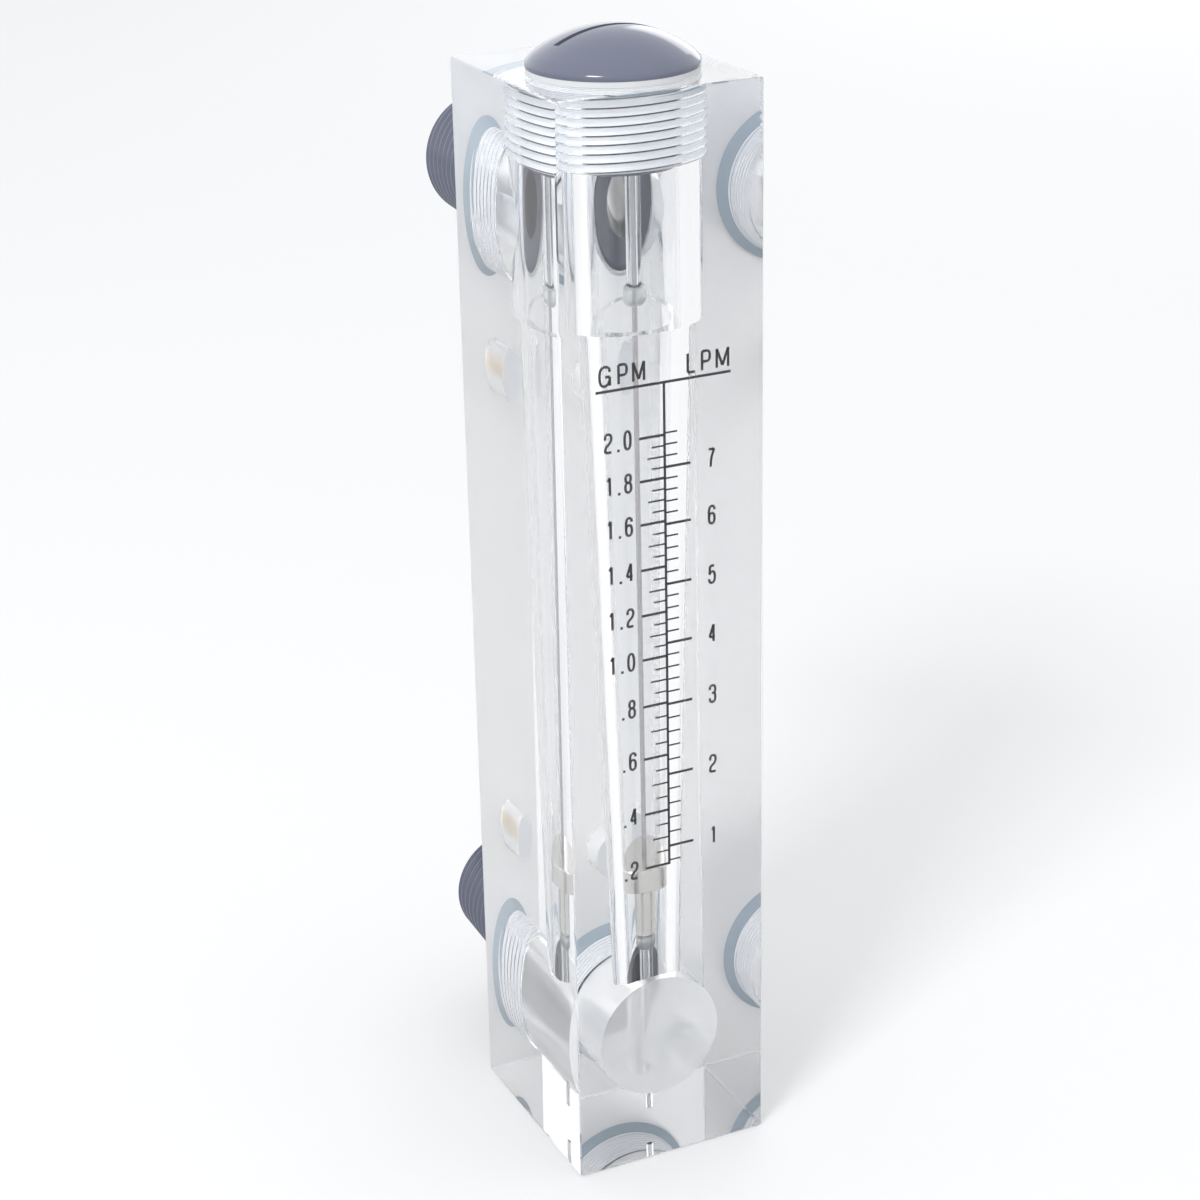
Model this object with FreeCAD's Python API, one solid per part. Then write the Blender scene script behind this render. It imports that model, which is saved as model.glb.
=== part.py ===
"""Clear-block rotameter: a panel-mounted flow meter with a guided float, in millimetres.

The frame stands on the block's base: the origin is the middle of the base face, +Z is up, -Y is the
scale face and +Y is the back, where the two threaded connectors and the panel screws are.
The measuring tube is a tapered bore in the block, so it widens upwards and the float rises with flow.
"""
import FreeCAD
import Part
import math
import os

os.makedirs("parts", exist_ok=True)

# Clear acrylic block
BLOCK_WIDTH = 31.5
BLOCK_DEPTH = 35.0
EDGE_BREAK = 0.3
TUBE_SETBACK = 14.5          # scale face to the axis of the measuring tube

# Bores in the block
INLET_HEIGHT = 18.6
PORT_SPACING = 127.0         # inlet axis to outlet axis
TOP_MARGIN = 20.9            # outlet axis to the top of the block
PORT_DRILL_R = 10.0          # both connector bores
CAVITY_FRONT_WALL = 7.0      # scale face to the blind end of the inlet bore
CHAMBER_R = 10.3             # straight bore for the plug and the outlet chamber
CHAMBER_BELOW_OUTLET = 13.6  # outlet axis to the step down to the measuring tube
TUBE_TOP_R = 8.55
TUBE_BOTTOM_R = 5.55         # where the tube meets the crown of the inlet bore
PLUG_SEAT_R = 12.0           # mouth of the 45 degree seal seat at the top
PORT_SEAT_R = 11.9           # mouth of the 45 degree seal seats at the back

# Guide rod and the stops on it
ROD_R = 0.6
ROD_SEAT_DEPTH = 5.2         # blind hole in the floor of the inlet bore
ROD_PLAY = 0.05
SLEEVE_R = 1.75
SLEEVE_PLAY = 0.05           # sleeve over rod, and sleeve in its socket
SLEEVE_SEAT_PLAY = 0.05      # square end of the lower sleeve to the round floor of the inlet bore
LOWER_SLEEVE_LENGTH = 22.5
UPPER_SLEEVE_LENGTH = 22.0
STOP_R = 2.6
STOP_HEIGHT = 2.6
STOP_EDGE = 0.7
STOP_PLAY = 0.02             # stop ring over rod

# Float
FLOAT_HEAD_HEIGHT = 3.7
FLOAT_PLAY = 0.2             # head to tube wall at rest
FLOAT_TAIL_R = 2.65
FLOAT_TAIL_LENGTH = 9.3
FLOAT_BORE_PLAY = 0.1
FLOAT_EDGE = 0.15

# Top plug
PLUG_HEAD_R = 12.2
PLUG_RIM_HEIGHT = 1.8
PLUG_CROWN_HEIGHT = 6.3      # block top to the middle of the dome
PLUG_RIM_EDGE = 0.4
PLUG_SHANK_LENGTH = 12.2
PLUG_SEAL_ROOM = 2.3         # neck to the mouth of the seal's seat
PLUG_SEAL_DEPTH = 1.7
PLUG_SOCKET_DEPTH = 4.0      # for the upper sleeve
ROD_SOCKET_DEPTH = 3.0       # beyond the sleeve socket
SLOT_WIDTH = 1.2
SLOT_DEPTH = 2.15

# Threaded connectors
FITTING_SHANK_LENGTH = 9.5
FITTING_SEAL_ROOM = 2.5      # neck to the mouth of the seal's seat
FITTING_SEAL_DEPTH = 1.9
FITTING_BORE_R = 5.0
FLANGE_R = 12.2
FLANGE_THICKNESS = 1.5
HEX_ACROSS_FLATS = 21.0
HEX_THICKNESS = 3.5
HEX_CORNER_BREAK = 0.6
RELIEF_R = 9.5
RELIEF_LENGTH = 1.3
PIPE_END_R = 9.8             # crest of the taper thread at its free end
PIPE_TAPER = 1.0 / 32.0      # growth in radius for each millimetre of length
PIPE_LENGTH = 20.2
PIPE_LEAD = 0.8              # chamfer that starts the thread
PIPE_PITCH = 25.4 / 14       # fourteen threads to the inch
PIPE_THREAD_DEPTH = 1.1

# Shared by the screwed-in pieces
THREAD_PLAY = 0.1            # shank to tapped bore
NECK_MARGIN = 0.3            # neck runs this far past its seal's depth
SHANK_LEAD = 0.7
SEAL_PLAY = 0.03
SEAL_SIDES = 8               # flats that the squeezed section is drawn with

# Panel screw inserts
INSERT_SPACING = 76.2
INSERT_R = 4.1
INSERT_LENGTH = 6.0
INSERT_RELIEF = 0.5          # air left between the insert and the blind end of its hole
INSERT_PLAY = 0.02
INSERT_SCREW_R = 2.1
INSERT_EDGE = 0.4
INSERT_GROOVE_DEPTH = 0.35
INSERT_GROOVE_WIDTH = 1.2

OVERCUT = 1.0                # a cut starts this far outside the face it opens

# Places that follow from the sizes above
FRONT = -BLOCK_DEPTH / 2
BACK = BLOCK_DEPTH / 2
TUBE_Y = FRONT + TUBE_SETBACK
OUTLET_HEIGHT = INLET_HEIGHT + PORT_SPACING
BLOCK_HEIGHT = OUTLET_HEIGHT + TOP_MARGIN
CHAMBER_FLOOR = OUTLET_HEIGHT - CHAMBER_BELOW_OUTLET
CAVITY_END = FRONT + CAVITY_FRONT_WALL
CAVITY_FLOOR = INLET_HEIGHT - PORT_DRILL_R
CAVITY_CROWN = INLET_HEIGHT + PORT_DRILL_R
ROD_BOTTOM = CAVITY_FLOOR - ROD_SEAT_DEPTH
PLUG_NECK_R = PLUG_SEAT_R - PLUG_SEAL_ROOM
FITTING_NECK_R = PORT_SEAT_R - FITTING_SEAL_ROOM
PLUG_BOTTOM = BLOCK_HEIGHT - PLUG_SHANK_LENGTH
SLEEVE_SOCKET_TOP = PLUG_BOTTOM + PLUG_SOCKET_DEPTH
ROD_SOCKET_TOP = SLEEVE_SOCKET_TOP + ROD_SOCKET_DEPTH
LOWER_SLEEVE_BOTTOM = INLET_HEIGHT - math.sqrt(PORT_DRILL_R ** 2 - SLEEVE_R ** 2) + SLEEVE_SEAT_PLAY
LOWER_SLEEVE_TOP = LOWER_SLEEVE_BOTTOM + LOWER_SLEEVE_LENGTH
FLOAT_REST = LOWER_SLEEVE_TOP + STOP_HEIGHT
FLOAT_HEAD_BOTTOM = FLOAT_REST + FLOAT_TAIL_LENGTH
FLOAT_TOP = FLOAT_HEAD_BOTTOM + FLOAT_HEAD_HEIGHT
UPPER_SLEEVE_BOTTOM = SLEEVE_SOCKET_TOP - UPPER_SLEEVE_LENGTH
UPPER_STOP_BOTTOM = UPPER_SLEEVE_BOTTOM - STOP_HEIGHT
FLOAT_TRAVEL = UPPER_STOP_BOTTOM - FLOAT_TOP
INSERT_MIDDLE = (INLET_HEIGHT + OUTLET_HEIGHT) / 2

UP = FreeCAD.Vector(0, 0, 1)
REARWARD = FreeCAD.Vector(0, 1, 0)
TUBE_BASE = FreeCAD.Vector(0, TUBE_Y, 0)


def tube_radius(height):
    """Radius of the tapered measuring tube at a height above the base."""
    rise = (height - CAVITY_CROWN) / (CHAMBER_FLOOR - CAVITY_CROWN)
    return TUBE_BOTTOM_R + (TUBE_TOP_R - TUBE_BOTTOM_R) * rise


def turned(profile, centre, axis):
    """Solid turned about an axis from a closed profile of (radius, distance along the axis) corners.

    A corner marked "through" is the middle of an arc between the corners on either side of it.
    """
    points = [centre + FreeCAD.Vector(1, 0, 0) * corner[0] + axis * corner[1] for corner in profile]
    on_arc = [len(corner) > 2 for corner in profile]
    sides = []
    for i in range(len(points)):
        following = points[(i + 1) % len(points)]
        if on_arc[i]:
            sides.append(Part.Arc(points[i - 1], points[i], following).toShape())
        elif not on_arc[(i + 1) % len(points)]:
            sides.append(Part.LineSegment(points[i], following).toShape())
    return Part.Face(Part.Wire(sides)).revolve(centre, axis, 360)


def block():
    """Clear block with its plug bore, tapered tube, two ports, rod seat and insert holes."""
    corner = FreeCAD.Vector(-BLOCK_WIDTH / 2, FRONT, 0)
    blank = Part.makeBox(BLOCK_WIDTH, BLOCK_DEPTH, BLOCK_HEIGHT, corner)
    blank = blank.makeChamfer(EDGE_BREAK, blank.Edges)
    seat_depth = PLUG_SEAT_R - CHAMBER_R
    cuts = [
        turned([(0, CHAMBER_FLOOR), (CHAMBER_R, CHAMBER_FLOOR), (CHAMBER_R, BLOCK_HEIGHT - seat_depth),
                (PLUG_SEAT_R, BLOCK_HEIGHT), (PLUG_SEAT_R, BLOCK_HEIGHT + OVERCUT),
                (0, BLOCK_HEIGHT + OVERCUT)], TUBE_BASE, UP),
        turned([(0, INLET_HEIGHT), (tube_radius(INLET_HEIGHT), INLET_HEIGHT),
                (TUBE_TOP_R, CHAMBER_FLOOR), (0, CHAMBER_FLOOR)], TUBE_BASE, UP),
        Part.makeCylinder(ROD_R + ROD_PLAY, INLET_HEIGHT - ROD_BOTTOM, TUBE_BASE + UP * ROD_BOTTOM, UP),
        port_cut(INLET_HEIGHT, CAVITY_END),
        port_cut(OUTLET_HEIGHT, TUBE_Y),
    ]
    hole_length = INSERT_LENGTH + INSERT_RELIEF + OVERCUT
    for height in insert_heights():
        outside = FreeCAD.Vector(0, BACK + OVERCUT, height)
        cuts.append(Part.makeCylinder(INSERT_R + INSERT_PLAY, hole_length, outside, -REARWARD))
    for cut in cuts:
        blank = blank.cut(cut)
    return blank


def port_cut(height, blind_end):
    """Connector bore from the back face to its blind end, with the seal seat at its mouth."""
    seat_depth = PORT_SEAT_R - PORT_DRILL_R
    return turned([(0, blind_end), (PORT_DRILL_R, blind_end), (PORT_DRILL_R, BACK - seat_depth),
                   (PORT_SEAT_R, BACK), (PORT_SEAT_R, BACK + OVERCUT), (0, BACK + OVERCUT)],
                  FreeCAD.Vector(0, 0, height), REARWARD)


def insert_heights():
    """Heights of the two panel screw inserts, lower first."""
    return INSERT_MIDDLE - INSERT_SPACING / 2, INSERT_MIDDLE + INSERT_SPACING / 2


def seal(seat_r, neck_r, face_centre, outward):
    """O-ring squeezed against the neck, the head above it and the 45 degree seat around it."""
    reach = (seat_r - neck_r) / (2 + math.sqrt(2))
    corner_r = (reach - SEAL_PLAY) / math.cos(math.pi / SEAL_SIDES)
    profile = []
    for side in range(SEAL_SIDES):
        angle = 2 * math.pi * (side + 0.5) / SEAL_SIDES
        profile.append((neck_r + reach + corner_r * math.cos(angle), corner_r * math.sin(angle) - reach))
    return turned(profile, face_centre, outward)


def top_plug():
    """Screwed plug with a domed head, a driver slot, and sockets below for the sleeve and the rod."""
    top = BLOCK_HEIGHT
    rim_top = top + PLUG_RIM_HEIGHT
    crown = top + PLUG_CROWN_HEIGHT
    dome_rise = crown - rim_top
    dome_r = (PLUG_HEAD_R ** 2 + dome_rise ** 2) / (2 * dome_rise)
    half_way = PLUG_HEAD_R / 2
    half_way_up = crown - dome_r + math.sqrt(dome_r ** 2 - half_way ** 2)
    neck_bottom = top - PLUG_SEAL_DEPTH - NECK_MARGIN
    shank_r = CHAMBER_R - THREAD_PLAY
    solid = turned([
        (0, ROD_SOCKET_TOP), (ROD_R + ROD_PLAY, ROD_SOCKET_TOP), (ROD_R + ROD_PLAY, SLEEVE_SOCKET_TOP),
        (SLEEVE_R + SLEEVE_PLAY, SLEEVE_SOCKET_TOP), (SLEEVE_R + SLEEVE_PLAY, PLUG_BOTTOM),
        (shank_r - SHANK_LEAD, PLUG_BOTTOM), (shank_r, PLUG_BOTTOM + SHANK_LEAD), (shank_r, neck_bottom),
        (PLUG_NECK_R, neck_bottom), (PLUG_NECK_R, top), (PLUG_HEAD_R, top), (PLUG_HEAD_R, rim_top),
        (half_way, half_way_up, "through"), (0, crown)], TUBE_BASE, UP)
    rim = [edge for edge in solid.Edges if is_circle(edge, PLUG_HEAD_R, rim_top)]
    solid = solid.makeChamfer(PLUG_RIM_EDGE, rim)
    slot = Part.makeBox(2 * PLUG_HEAD_R, SLOT_WIDTH, SLOT_DEPTH + OVERCUT,
                        FreeCAD.Vector(-PLUG_HEAD_R, TUBE_Y - SLOT_WIDTH / 2, crown - SLOT_DEPTH))
    return solid.cut(slot)


def is_circle(edge, radius, height):
    """True for a level circular edge of this radius at this height."""
    if edge.Degenerated:
        return False
    curve = edge.Curve
    return (isinstance(curve, Part.Circle) and math.isclose(curve.Radius, radius, abs_tol=1e-6)
            and math.isclose(curve.Center.z, height, abs_tol=1e-6))


def fitting(height):
    """Moulded connector: straight thread into the block, flange, hexagon and taper pipe thread."""
    centre = FreeCAD.Vector(0, BACK, height)
    shank_r = PORT_DRILL_R - THREAD_PLAY
    neck_start = -FITTING_SEAL_DEPTH - NECK_MARGIN
    hex_end = FLANGE_THICKNESS + HEX_THICKNESS
    pipe_start = hex_end + RELIEF_LENGTH
    pipe_end = pipe_start + PIPE_LENGTH
    body = turned([
        (FITTING_BORE_R, -FITTING_SHANK_LENGTH), (shank_r - SHANK_LEAD, -FITTING_SHANK_LENGTH),
        (shank_r, SHANK_LEAD - FITTING_SHANK_LENGTH), (shank_r, neck_start), (FITTING_NECK_R, neck_start),
        (FITTING_NECK_R, 0), (FLANGE_R, 0), (FLANGE_R, FLANGE_THICKNESS), (RELIEF_R, FLANGE_THICKNESS),
        (RELIEF_R, pipe_start)] + pipe_ridges(pipe_start, pipe_end) + [
        (PIPE_END_R - PIPE_LEAD, pipe_end), (FITTING_BORE_R, pipe_end)], centre, REARWARD)
    return body.fuse(hexagon(centre, FLANGE_THICKNESS, hex_end)).removeSplitter()


def pipe_ridges(start, end):
    """Profile corners of the taper pipe thread, drawn as level ridges a pitch apart."""
    corners = []
    half_turns = 2 * int((end - start - PIPE_LEAD) / PIPE_PITCH)
    for i in range(half_turns, -1, -1):
        from_end = PIPE_LEAD + i * PIPE_PITCH / 2
        depth = PIPE_THREAD_DEPTH if i % 2 else 0
        corners.append((PIPE_END_R + from_end * PIPE_TAPER - depth, end - from_end))
    return corners


def hexagon(centre, start, end):
    """Wrench hexagon with its outer corners broken, bored to sit on the connector's body."""
    corner_r = HEX_ACROSS_FLATS / math.sqrt(3)
    corners = []
    for side in range(6):
        angle = math.radians(60 * side)
        corners.append(centre + REARWARD * start
                       + FreeCAD.Vector(corner_r * math.cos(angle), 0, corner_r * math.sin(angle)))
    outline = Part.makePolygon(corners + corners[:1])
    prism = Part.Face(outline).extrude(REARWARD * (end - start))
    limit = turned([(FITTING_BORE_R, start), (corner_r, start), (corner_r, end - HEX_CORNER_BREAK),
                    (corner_r - 2 * HEX_CORNER_BREAK, end), (FITTING_BORE_R, end)], centre, REARWARD)
    return prism.common(limit)


def sleeve(bottom, length):
    """Spacer tube that slips over the guide rod."""
    inner_r = ROD_R + SLEEVE_PLAY
    return turned([(inner_r, bottom), (SLEEVE_R, bottom), (SLEEVE_R, bottom + length),
                   (inner_r, bottom + length)], TUBE_BASE, UP)


def stop_ring(bottom):
    """Soft ring on the rod that the float meets at the end of its travel."""
    inner_r = ROD_R + STOP_PLAY
    top = bottom + STOP_HEIGHT
    waist_r = STOP_R - STOP_EDGE
    return turned([(inner_r, bottom), (waist_r, bottom), (STOP_R, bottom + STOP_EDGE),
                   (STOP_R, top - STOP_EDGE), (waist_r, top), (inner_r, top)], TUBE_BASE, UP)


def guide_rod():
    """Straight rod from the seat in the block's floor up into the plug."""
    length = ROD_SOCKET_TOP - ROD_PLAY - ROD_BOTTOM
    return Part.makeCylinder(ROD_R, length, TUBE_BASE + UP * ROD_BOTTOM, UP)


def float_body():
    """Turned float: a broad head that is read at its top face, a slim tail, and a hole for the rod."""
    bore_r = ROD_R + FLOAT_BORE_PLAY
    head_r = tube_radius(FLOAT_HEAD_BOTTOM) - FLOAT_PLAY
    edge = FLOAT_EDGE
    return turned([
        (bore_r, FLOAT_REST), (FLOAT_TAIL_R - edge, FLOAT_REST), (FLOAT_TAIL_R, FLOAT_REST + edge),
        (FLOAT_TAIL_R, FLOAT_HEAD_BOTTOM), (head_r - edge, FLOAT_HEAD_BOTTOM),
        (head_r, FLOAT_HEAD_BOTTOM + edge), (head_r, FLOAT_TOP - edge), (head_r - edge, FLOAT_TOP),
        (bore_r, FLOAT_TOP)], TUBE_BASE, UP)


def insert(height):
    """Brass insert with a groove round its middle and a screw hole right through."""
    inner = -INSERT_LENGTH
    groove_r = INSERT_R - INSERT_GROOVE_DEPTH
    groove_start = (inner - INSERT_GROOVE_WIDTH) / 2
    groove_end = groove_start + INSERT_GROOVE_WIDTH
    return turned([
        (INSERT_SCREW_R, inner), (INSERT_R - INSERT_EDGE, inner), (INSERT_R, inner + INSERT_EDGE),
        (INSERT_R, groove_start), (groove_r, groove_start), (groove_r, groove_end),
        (INSERT_R, groove_end), (INSERT_R, 0), (INSERT_SCREW_R, 0)],
        FreeCAD.Vector(0, BACK, height), REARWARD)


def port_seal(height):
    """O-ring between a connector's flange and the seat at the mouth of its bore."""
    return seal(PORT_SEAT_R, FITTING_NECK_R, FreeCAD.Vector(0, BACK, height), REARWARD)


lower_insert_height, upper_insert_height = insert_heights()
pieces = {
    "body_block": block(),
    "top_plug": top_plug(),
    "top_plug_seal": seal(PLUG_SEAT_R, PLUG_NECK_R, TUBE_BASE + UP * BLOCK_HEIGHT, UP),
    "inlet_fitting": fitting(INLET_HEIGHT),
    "inlet_seal": port_seal(INLET_HEIGHT),
    "outlet_fitting": fitting(OUTLET_HEIGHT),
    "outlet_seal": port_seal(OUTLET_HEIGHT),
    "guide_rod": guide_rod(),
    "lower_sleeve": sleeve(LOWER_SLEEVE_BOTTOM, LOWER_SLEEVE_LENGTH),
    "lower_stop_ring": stop_ring(LOWER_SLEEVE_TOP),
    "float": float_body(),
    "upper_stop_ring": stop_ring(UPPER_STOP_BOTTOM),
    "upper_sleeve": sleeve(UPPER_SLEEVE_BOTTOM, UPPER_SLEEVE_LENGTH),
    "lower_insert": insert(lower_insert_height),
    "upper_insert": insert(upper_insert_height),
}

for name, shape in pieces.items():
    if shape.ShapeType == "Compound" and len(shape.Solids) == 1:
        shape = shape.Solids[0]
    shape.exportStep("parts/" + name + ".step")
    box = shape.BoundBox
    print(f"{name}: valid {shape.isValid()}, solids {len(shape.Solids)}, volume {shape.Volume:.1f} mm3, "
          f"z {box.ZMin:.2f} to {box.ZMax:.2f}")
print(f"float travel {FLOAT_TRAVEL:.2f} mm")
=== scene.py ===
# %% [markdown]
# # A clear-block rotameter
#
# A rotameter is a flow meter with nothing hidden: water enters a bore at the bottom of a clear
# acrylic block, lifts a steel float up a tapered tube, and leaves through a bore at the top. The
# look is all in the clear block, so most of this lesson is about cutting true bores and threads
# into it and letting the light do the rest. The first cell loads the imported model, whose boxes
# give every place below.

# %% Load the frame and keep its box
import bpy
import bmesh
import math
from mathutils import Matrix, Vector


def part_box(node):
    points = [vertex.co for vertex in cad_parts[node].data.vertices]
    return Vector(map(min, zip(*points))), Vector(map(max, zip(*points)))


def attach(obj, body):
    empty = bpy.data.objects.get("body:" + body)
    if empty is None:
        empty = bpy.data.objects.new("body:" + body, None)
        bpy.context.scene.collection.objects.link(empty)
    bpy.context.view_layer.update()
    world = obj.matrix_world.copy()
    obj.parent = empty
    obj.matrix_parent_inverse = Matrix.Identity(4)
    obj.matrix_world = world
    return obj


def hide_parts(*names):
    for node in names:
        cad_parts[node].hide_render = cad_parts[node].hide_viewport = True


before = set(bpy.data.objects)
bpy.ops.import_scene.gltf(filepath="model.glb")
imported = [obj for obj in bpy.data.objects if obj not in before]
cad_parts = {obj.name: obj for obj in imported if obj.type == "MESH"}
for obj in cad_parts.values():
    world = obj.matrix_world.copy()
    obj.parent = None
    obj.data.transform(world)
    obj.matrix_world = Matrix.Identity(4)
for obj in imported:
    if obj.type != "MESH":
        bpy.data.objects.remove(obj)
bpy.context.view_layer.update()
MM = 0.001
print("nodes:", ", ".join(sorted(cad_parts)))

# %% [markdown]
# ## Places
#
# The block's faces, the height of each port and the axis of the tube are read from the boxes of
# the pieces that sit there. Sizes that no box shows, such as the depth of a thread, are named in
# millimetres where the piece that has them is made.

# %% Read the places that the pieces share
BLOCK_LOW, BLOCK_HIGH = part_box("body_block")
ROD_LOW, ROD_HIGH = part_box("guide_rod")
TUBE_AXIS = Vector(((ROD_LOW.x + ROD_HIGH.x) / 2, (ROD_LOW.y + ROD_HIGH.y) / 2, 0))
BACK = BLOCK_HIGH.y
FRONT = BLOCK_LOW.y
TOP = BLOCK_HIGH.z
UP = Vector((0, 0, 1))
REARWARD = Vector((0, 1, 0))


def middle_height(node):
    """Height of the middle of a node's box."""
    low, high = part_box(node)
    return (low.z + high.z) / 2


INLET_HEIGHT = middle_height("inlet_fitting")
OUTLET_HEIGHT = middle_height("outlet_fitting")
print(f"tube axis at y {TUBE_AXIS.y / MM:.1f} mm")
print(f"ports at {INLET_HEIGHT / MM:.1f} and {OUTLET_HEIGHT / MM:.1f} mm")

# %% [markdown]
# ## Turned shapes
#
# Nearly every piece here comes off a lathe or out of a turned mould, so one helper spins a half
# profile right round an axis. The spin is the bmesh operator, and the profile is a short list of
# radius and height in millimetres. Many steps matter more than usual, because a clear bore shows
# every flat.

# %% A helper that spins a profile into a closed piece
SMOOTH_STEPS = 240           # a multiple of twelve, so that hexagon corners fall on a step
CREASE = math.radians(32)    # sharper bends than this stay crisp
WELD = 1e-7                  # in metres


def aim(place, axis):
    """Matrix that carries +Z at the origin to an axis through a place."""
    if axis == UP:
        return Matrix.Translation(place)
    return Matrix.Translation(place) @ Matrix.Rotation(math.radians(-90), 4, "X")


def spin_profile(profile, steps=SMOOTH_STEPS):
    """Bmesh of a closed profile of (radius, height) in millimetres, spun about +Z."""
    bm = bmesh.new()
    ring = [bm.verts.new((radius * MM, 0, height * MM)) for radius, height in profile]
    edges = [bm.edges.new((ring[i - 1], ring[i])) for i in range(len(ring))]
    bmesh.ops.spin(bm, geom=ring + edges, cent=(0, 0, 0), axis=(0, 0, 1), dvec=(0, 0, 0),
                   angle=2 * math.pi, steps=steps, use_merge=True, use_duplicate=False)
    bmesh.ops.remove_doubles(bm, verts=bm.verts, dist=WELD)
    loose = [edge for edge in bm.edges if not edge.link_faces]
    bmesh.ops.delete(bm, geom=loose, context="EDGES")
    bmesh.ops.recalc_face_normals(bm, faces=bm.faces)
    return bm


def piece_from(name, bm, *materials):
    """Object with this bmesh as its mesh, smooth but for its creases."""
    mesh = bpy.data.meshes.new(name)
    bm.to_mesh(mesh)
    bm.free()
    for material in materials:
        mesh.materials.append(material)
    mesh.shade_smooth()
    mesh.set_sharp_from_angle(angle=CREASE)
    piece = bpy.data.objects.new(name, mesh)
    bpy.context.scene.collection.objects.link(piece)
    return piece


def turned(name, profile, place, axis, material, steps=SMOOTH_STEPS):
    """Piece spun from a profile, standing at a place along an axis."""
    bm = spin_profile(profile, steps)
    bmesh.ops.transform(bm, matrix=aim(place, axis), verts=bm.verts)
    return piece_from(name, bm, material)


# %% [markdown]
# ## Screw threads
#
# A thread is one small ridge profile that climbs as it turns. The same spin operator makes one
# turn of it when each step also lifts the profile a little. Copies of that turn are stacked a
# pitch apart and welded, two flat cuts trim the screw to length, and its ends are filled, which
# leaves a solid that can be cut from a bore or added to a spigot. A grooved cylinder would be
# simpler, but it has no lead.
#
# In clear plastic a cut thread shows as bright lines on white: its crests keep the polish of the
# bore and its flanks are frosted. So a screw takes one material for its crest and one for the
# rest.

# %% A helper that makes a threaded solid
THREAD_STEPS = 144
THREAD_WELD = 1e-6           # in metres: closer points of two turns are one
THREAD_LEAD = 1.5            # turns below the lower cut, so that it goes through whole turns
FLANK_SLOPE = math.tan(math.radians(30))   # 60 degree thread form
CREST_BAND = 0.05            # faces within this of the major radius are the crest
CREST_SHARE = 0.5            # crest and root are equally wide


def threaded(name, minor, major, pitch, bottom, top, place, axis, materials, taper=0.0,
             crest=CREST_SHARE):
    """Solid screw between two heights, with a material for its crest and one for the rest.

    Taper is the gain in radius for each millimetre below its top. Crest is the crest's share of the
    length that the flanks leave.
    """
    flank = (major - minor) * FLANK_SLOPE
    flats = pitch - 2 * flank
    profile = [(major, 0), (major, flats * crest), (minor, flats * crest + flank),
               (minor, pitch - flank), (major, pitch)]
    start = bottom - THREAD_LEAD * pitch
    turns = math.ceil((top - start) / pitch) + 1
    bm = bmesh.new()
    ridge = [bm.verts.new((radius * MM, 0, (start + height) * MM)) for radius, height in profile]
    edges = [bm.edges.new((ridge[i], ridge[i + 1])) for i in range(len(ridge) - 1)]
    bmesh.ops.spin(bm, geom=ridge + edges, cent=(0, 0, 0), axis=(0, 0, 1),
                   dvec=(0, 0, pitch * MM / THREAD_STEPS), angle=2 * math.pi,
                   steps=THREAD_STEPS, use_merge=False, use_duplicate=False)
    for face in bm.faces:
        if face.calc_center_median().xy.length < (major - CREST_BAND) * MM:
            face.material_index = len(materials) - 1
    one_turn = bm.verts[:] + bm.edges[:] + bm.faces[:]
    for turn in range(1, turns):
        copied = bmesh.ops.duplicate(bm, geom=one_turn)["geom"]
        lifted = [part for part in copied if isinstance(part, bmesh.types.BMVert)]
        bmesh.ops.translate(bm, vec=(0, 0, turn * pitch * MM), verts=lifted)
    bmesh.ops.remove_doubles(bm, verts=bm.verts, dist=THREAD_WELD)
    for height, side in ((bottom, -1), (top, 1)):
        bmesh.ops.bisect_plane(bm, geom=bm.verts[:] + bm.edges[:] + bm.faces[:], dist=WELD,
                               plane_co=(0, 0, height * MM), plane_no=(0, 0, side),
                               clear_outer=True)
        rim = [edge for edge in bm.edges if edge.is_boundary
               and all(abs(vert.co.z - height * MM) < THREAD_WELD for vert in edge.verts)]
        bmesh.ops.edgeloop_fill(bm, edges=rim)
    bmesh.ops.recalc_face_normals(bm, faces=bm.faces)
    if taper:
        for vert in bm.verts:
            gain = 1 + taper * (top - vert.co.z / MM) / major
            vert.co.x *= gain
            vert.co.y *= gain
    bmesh.ops.transform(bm, matrix=aim(place, axis), verts=bm.verts)
    return piece_from(name, bm, *materials)


# %% [markdown]
# ## Cutting and joining
#
# Two bores that cross at right angles meet in a curve that no simple operator draws, so the
# Boolean modifier does it, with its manifold solver. A face that a tool leaves keeps the tool's
# material. The tool is thrown away once its cut is baked into the mesh.

# %% Helpers that cut a tool away or join it on
def combine(piece, tool, operation):
    """Bakes a Boolean of a tool into a piece and removes the tool."""
    step = piece.modifiers.new(operation, "BOOLEAN")
    step.operation = operation
    step.solver = "MANIFOLD"
    step.material_mode = "TRANSFER"
    step.object = tool
    graph = bpy.context.evaluated_depsgraph_get()
    baked = bpy.data.meshes.new_from_object(piece.evaluated_get(graph), depsgraph=graph)
    piece.modifiers.clear()
    old = piece.data
    piece.data = baked
    baked.name = old.name
    bpy.data.meshes.remove(old)
    bpy.data.objects.remove(tool)
    return piece


def finish_shading(piece, flat_materials=()):
    """Smooth faces with crisp creases on a cut mesh. Faces of flat materials stay flat."""
    bm = bmesh.new()
    bm.from_mesh(piece.data)
    bmesh.ops.remove_doubles(bm, verts=bm.verts, dist=WELD)
    open_edges = sum(1 for edge in bm.edges if not edge.is_manifold)
    bm.to_mesh(piece.data)
    bm.free()
    piece.data.shade_smooth()
    piece.data.set_sharp_from_angle(angle=CREASE)
    for face in piece.data.polygons:
        if piece.data.materials[face.material_index] in flat_materials:
            face.use_smooth = False
    print(f"{piece.name}: {len(piece.data.polygons)} faces, {open_edges} open edges")
    return piece


def finish_piece(piece, body, slot, *nodes):
    """Sets a finished piece on its body and hides the nodes that it stands for; its slot is not
    used.
    """
    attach(piece, body)
    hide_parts(*nodes)
    return piece


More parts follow.
